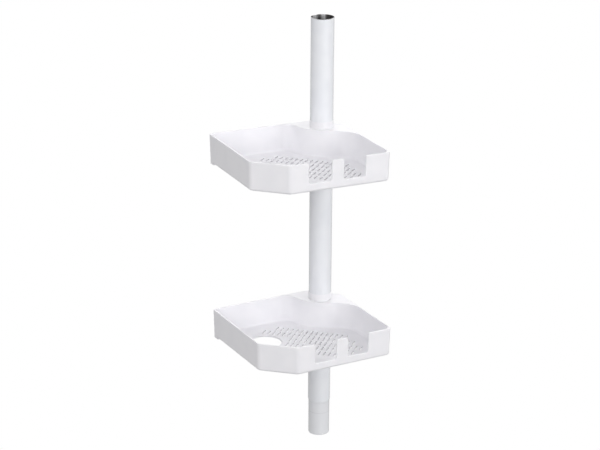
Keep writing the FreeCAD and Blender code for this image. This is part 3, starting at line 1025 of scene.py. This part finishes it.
# ------------------------------------------------------------------ camera and studio
@dataclass(frozen=True)
class StudioCamera:
    """Camera placed round the pole's axis.

    Attributes:
        turn: angle in degrees from +Y to the view direction, clockwise from above.
        distance: horizontal distance from the camera to the pole's axis.
        height: height of the camera above the origin.
        aside: how far the pole's axis stands to the right of the view's middle plane.
        pitch: downward tilt in degrees.
        roll: turn about the view direction in degrees.
        focal_pixels: focal length in pixels of a frame that is frame_width wide.
        middle_row: row of the frame that the view direction passes through.
        frame_width: width of the frame in pixels.
        frame_height: height of the frame in pixels.
        sensor: width of the sensor in millimetres.
        reach: nearest and farthest distance that it draws.
    """

    turn: float = 25.147
    distance: float = 2.3581
    height: float = 1.1613
    aside: float = 0.0286
    pitch: float = 20.849
    roll: float = 0.3134
    focal_pixels: float = 1787.74
    middle_row: float = 262.46
    frame_width: int = 600
    frame_height: int = 450
    sensor: float = 36.0
    reach: Span = (0.05, 50.0)

    def build(self) -> bpy.types.Object:
        """Make the camera and hand it to the scene.

        Returns:
            The camera object.
        """
        data = bpy.data.cameras.new("studio_camera")
        data.sensor_fit = "HORIZONTAL"
        data.sensor_width = self.sensor
        data.lens = self.focal_pixels / self.frame_width * self.sensor
        data.shift_y = (self.middle_row - self.frame_height / 2) / self.frame_width
        data.clip_start, data.clip_end = self.reach
        camera = bpy.data.objects.new("studio_camera", data)
        bpy.context.collection.objects.link(camera)
        about_pole = Matrix.Rotation(-math.radians(self.turn), 4, "Z")
        place = Matrix.Translation((-self.aside, -self.distance, self.height))
        tilt = Matrix.Rotation(math.radians(90.0 - self.pitch), 4, "X")
        roll = Matrix.Rotation(math.radians(self.roll), 4, "Z")
        camera.matrix_world = about_pole @ place @ tilt @ roll
        bpy.context.scene.camera = camera
        return camera


@dataclass(frozen=True)
class SoftBox:
    """Square area light that looks at one point.

    Attributes:
        name: name of the light.
        place: where it stands.
        power: its power in watts.
        target: what it looks at.
        side: length of its sides.
    """

    name: str
    place: Point
    power: float
    target: Point = (0.0, 0.0, 0.3)
    side: float = 1.8

    def build(self) -> bpy.types.Object:
        """Make the light.

        Returns:
            The light.
        """
        data = bpy.data.lights.new(self.name, "AREA")
        data.shape = "SQUARE"
        data.size = self.side
        data.energy = self.power
        lamp = bpy.data.objects.new(self.name, data)
        lamp.location = self.place
        aim = Vector(self.target) - Vector(self.place)
        lamp.rotation_euler = aim.to_track_quat("-Z", "Y").to_euler()
        bpy.context.collection.objects.link(lamp)
        return lamp


@dataclass(frozen=True)
class Glow:
    """Soft patch of light in the room round the object.

    Attributes:
        strength: its strength.
        turn: level angle in degrees from the back wall's middle to the patch, to the right; None
            for a patch that goes all round.
        focus: power with which it falls off to its sides.
        rise: sines of the elevations between which it comes in, None when it reaches the floor.
        fall: sines of the elevations between which it fades out, None when it reaches the ceiling.
    """

    strength: float
    turn: float | None = None
    focus: float = 4.0
    rise: Span | None = None
    fall: Span | None = None

    def build(self, sheet: NodeSheet, view: tuple[bpy.types.NodeSocket, ...],
              back_wall: float) -> bpy.types.NodeSocket:
        """Work out the patch's light from the direction that is looked at.

        Args:
            sheet: the world's nodes.
            view: the direction's X, Y and Z.
            back_wall: angle in degrees from +X to the middle of the back wall.

        Returns:
            The strength of its light.
        """
        x, y, z = view
        light = self.strength
        if self.turn is not None:
            angle = math.radians(back_wall - self.turn)
            toward = sheet.math("ADD", sheet.math("MULTIPLY", x, math.cos(angle)),
                                sheet.math("MULTIPLY", y, math.sin(angle)))
            lobe = sheet.math("POWER", sheet.math("MAXIMUM", toward, 0.0), self.focus)
            light = sheet.math("MULTIPLY", lobe, light)
        if self.rise:
            light = sheet.math("MULTIPLY", sheet.ramp(z, *self.rise), light)
        if self.fall:
            light = sheet.math("MULTIPLY", sheet.ramp(z, *self.fall, 1.0, 0.0), light)
        return light


@dataclass(frozen=True)
class Studio:
    """Plain white floor in a white room that glows behind and above the object, with soft boxes.

    Attributes:
        back_wall: angle in degrees from +X to the middle of the back wall.
        glows: the patches of light in the room.
        floor_glow: strength of the light that the floor gives back.
        floor_size: half the side of the floor.
        boxes: the soft boxes.
    """

    back_wall: float = 64.853
    glows: tuple[Glow, ...] = (
        Glow(0.685, rise=(0.5, 0.9)),
        Glow(1.45, turn=0.0, fall=(0.1, 0.5)),
        Glow(0.796, turn=45.0, fall=(0.1, 0.5)),
        Glow(0.215, turn=90.0, fall=(0.1, 0.5)),
        Glow(2.476, turn=0.0, focus=2.0, rise=(0.1, 0.45), fall=(0.55, 0.9)),
    )
    floor_glow: float = 0.464
    floor_size: float = 9.0
    boxes: tuple[SoftBox, ...] = (
        SoftBox("right_box", (2.2, -2.2, 1.6), 39.6),
        SoftBox("front_box", (0.35, -3.2, 0.9), 31.9),
        SoftBox("left_box", (-2.6, -1.4, 1.6), 44.9),
        SoftBox("top_box", (0.0, -0.2, 3.0), 6.7),
        SoftBox("high_box", (0.35, -3.0, 1.65), 3.6),
    )

    def surroundings(self) -> None:
        """Make the world, which lights with the glows and which the camera sees as paper white."""
        world = bpy.data.worlds.new("studio")
        world.use_nodes = True
        bpy.context.scene.world = world
        sheet = NodeSheet(world.node_tree)
        output = sheet.add("OutputWorld")
        seen = sheet.add("Background")
        light = sheet.add("Background")
        split = sheet.add("SeparateXYZ")
        sheet.feed(split.inputs[0], sheet.add("TexCoord").outputs["Generated"])
        total = 0.0
        for glow in self.glows:
            total = sheet.math("ADD", glow.build(sheet, tuple(split.outputs), self.back_wall), total)
        seen.inputs["Color"].default_value = (1.0, 1.0, 1.0, 1.0)
        light.inputs["Color"].default_value = (1.0, 1.0, 1.0, 1.0)
        sheet.feed(light.inputs["Strength"], total)
        choice = sheet.add("MixShader")
        sheet.feed(choice.inputs[0], sheet.add("LightPath").outputs["Is Camera Ray"])
        sheet.feed(choice.inputs[1], light.outputs[0])
        sheet.feed(choice.inputs[2], seen.outputs[0])
        sheet.feed(output.inputs["Surface"], choice.outputs[0])

    def floor(self) -> bpy.types.Object:
        """Make the floor, which the camera sees as paper white from above and clear from below.

        Returns:
            The floor, which is staged.
        """
        bm = bmesh.new()
        bmesh.ops.create_grid(bm, x_segments=1, y_segments=1, size=self.floor_size)
        mesh = bpy.data.meshes.new("studio_floor")
        bm.to_mesh(mesh)
        bm.free()
        floor = bpy.data.objects.new("studio_floor", mesh)
        bpy.context.collection.objects.link(floor)
        material = bpy.data.materials.new("studio_floor")
        material.use_nodes = True
        sheet = NodeSheet(material.node_tree)
        output = sheet.add("OutputMaterial")
        paper = sheet.add("Emission")
        seen = sheet.ramp(sheet.add("LightPath").outputs["Is Camera Ray"], 0.0, 1.0, self.floor_glow, 1.0)
        sheet.feed(paper.inputs["Strength"], seen)
        clear = sheet.add("BsdfTransparent")
        sided = sheet.add("MixShader")
        sheet.feed(sided.inputs[0], sheet.add("NewGeometry").outputs["Backfacing"])
        sheet.feed(sided.inputs[1], paper.outputs[0])
        sheet.feed(sided.inputs[2], clear.outputs[0])
        sheet.feed(output.inputs["Surface"], sided.outputs[0])
        mesh.materials.append(material)
        return floor

    def build(self) -> None:
        """Set up the studio."""
        bpy.context.scene.view_settings.view_transform = "Standard"
        self.surroundings()
        self.floor()
        for box in self.boxes:
            box.build()
        LOG.info("studio set with %d soft boxes", len(self.boxes))


def main() -> None:
    """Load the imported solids, dress each sub-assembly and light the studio."""
    logging.basicConfig(level=logging.INFO, format="%(name)s: %(message)s")
    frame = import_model()
    nodes = frame["nodes"]
    StudioCamera().build()
    PoleSection().build(nodes)
    SpringSet().build(nodes)
    rubber = GripRubber().build()
    for shelf in SHELVES:
        shelf.build(nodes, rubber)
    Studio().build()


if __name__ == "__main__":
    main()
